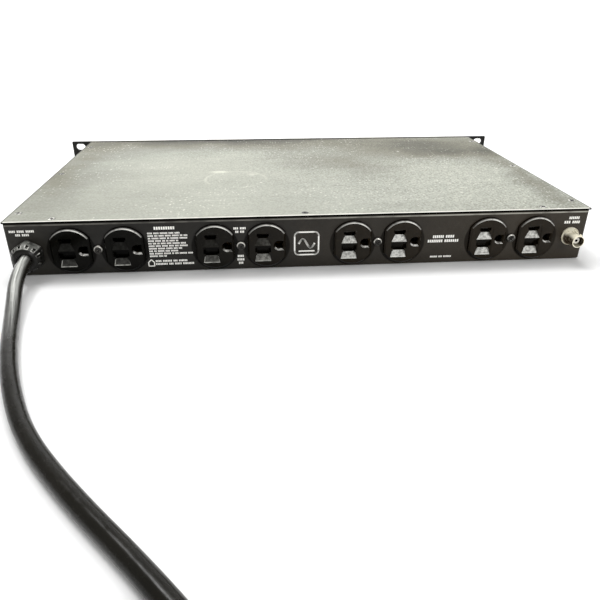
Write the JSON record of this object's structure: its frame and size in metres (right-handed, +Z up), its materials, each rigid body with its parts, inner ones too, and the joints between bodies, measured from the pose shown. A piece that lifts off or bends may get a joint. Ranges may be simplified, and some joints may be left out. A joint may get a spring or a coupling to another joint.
{
  "type": "rack power strip",
  "caption": "One-unit 19-inch rack power strip: folded steel case with grounded outlets, lamp socket and corded gland at the back, and rack ears with switch, breaker and dimmer at the front.",
  "frame": {"origin": "middle of the footprint of everything but the free cord, on the surface it stands on", "axes": "+X along the width, to the right when facing the outlets; +Y from the outlet panel towards the front panel with the rack ears; +Z up"},
  "size_m": [0.4826, 0.7337, 0.0437],
  "materials": {
    "tray_paint": "black powder coat, low sheen, dusty",
    "cover_paint": "dark grey paint under fine dust, scuffed",
    "panel_paint": "black powder coat, low sheen",
    "screw_black": "black oxide steel, worn on the edges",
    "outlet_black": "glossy black moulding",
    "outlet_rear": "matt black moulding",
    "zinc_steel": "zinc-plated steel",
    "contact_brass": "plain brass",
    "nickel": "nickel plate with a warm tint",
    "white_dielectric": "white fluoropolymer",
    "nylon_black": "black nylon, satin",
    "seal_rubber": "black rubber",
    "cord_jacket": "black cord jacket, satin, dusty",
    "plug_rubber": "moulded black plug",
    "switch_black": "glossy black",
    "breaker_black": "black phenolic",
    "button_white": "off-white button",
    "knob_black": "satin black knob",
    "pot_steel": "plated steel can",
    "lens_green": "green indicator lens",
    "board_green": "green circuit board",
    "varistor_blue": "blue dipped coating",
    "ferrite": "dark ferrite",
    "capacitor_yellow": "yellow box",
    "core_steel": "varnished laminations",
    "winding_tape": "amber tape over copper",
    "wire_black": "black insulation",
    "wire_white": "white insulation",
    "wire_green": "green insulation"
  },
  "bodies": {
    "casing": {"chassis_tray": "tray_paint", "top_cover": "cover_paint", "front_panel": "panel_paint", "cover_screws": "screw_black", "front_panel_screws": "screw_black", "outlet_middle_screws": "screw_black", "outlet_terminal_screws": "contact_brass", "outlet_contacts": "contact_brass", "gland_body": "nylon_black", "gland_dome_nut": "nylon_black", "gland_seal": "seal_rubber", "gland_locknut": "nylon_black", "lamp_socket_shell": "nickel", "lamp_socket_insulator": "white_dielectric", "lamp_socket_contact": "contact_brass", "lamp_socket_washer": "zinc_steel", "lamp_socket_nut": "nickel", "power_cord": "cord_jacket", "cord_coil": "cord_jacket", "plug_body": "plug_rubber", "plug_blades": "nickel", "plug_ground_pin": "nickel", "switch_housing": "switch_black", "rocker_pivot": "zinc_steel", "breaker_housing": "breaker_black", "breaker_nut": "nickel", "dimmer_pot": "pot_steel", "dimmer_nut": "nickel", "indicator_lenses": "lens_green", "spade_terminals": "contact_brass", "surge_board": "board_green", "board_standoffs": "contact_brass", "varistors": "varistor_blue", "filter_choke": "ferrite", "filter_capacitor": "capacitor_yellow", "transformer_core": "core_steel", "transformer_winding": "winding_tape", "transformer_frame": "zinc_steel", "inner_screws": "zinc_steel", "ground_stud": "zinc_steel", "ground_nut": "zinc_steel", "line_wires": "wire_black", "neutral_wires": "wire_white", "ground_wires": "wire_green", "outlet_1_face": "outlet_black", "outlet_1_base": "outlet_rear", "outlet_1_strap": "zinc_steel", "outlet_2_face": "outlet_black", "outlet_2_base": "outlet_rear", "outlet_2_strap": "zinc_steel", "outlet_3_face": "outlet_black", "outlet_3_base": "outlet_rear", "outlet_3_strap": "zinc_steel", "outlet_4_face": "outlet_black", "outlet_4_base": "outlet_rear", "outlet_4_strap": "zinc_steel"},
    "rocker": {"power_rocker": "switch_black"},
    "reset": {"reset_button": "button_white"},
    "dimmer": {"dimmer_shaft": "zinc_steel", "dimmer_knob": "knob_black"}
  },
  "joints": [
    {"name": "rocker_tilt", "type": "hinge", "parent": "casing", "child": "rocker", "pos_m": [-0.192, 0.1375, 0.02185], "axis": [1, 0, 0], "range_deg": [0, 20]},
    {"name": "reset_travel", "type": "slide", "parent": "casing", "child": "reset", "axis": [0, 1, 0], "range_m": [0, 0.003]},
    {"name": "dimmer_turn", "type": "hinge", "parent": "casing", "child": "dimmer", "pos_m": [0.19, 0.1385, 0.02185], "axis": [0, -1, 0], "range_deg": [0, 270]}
  ]
}
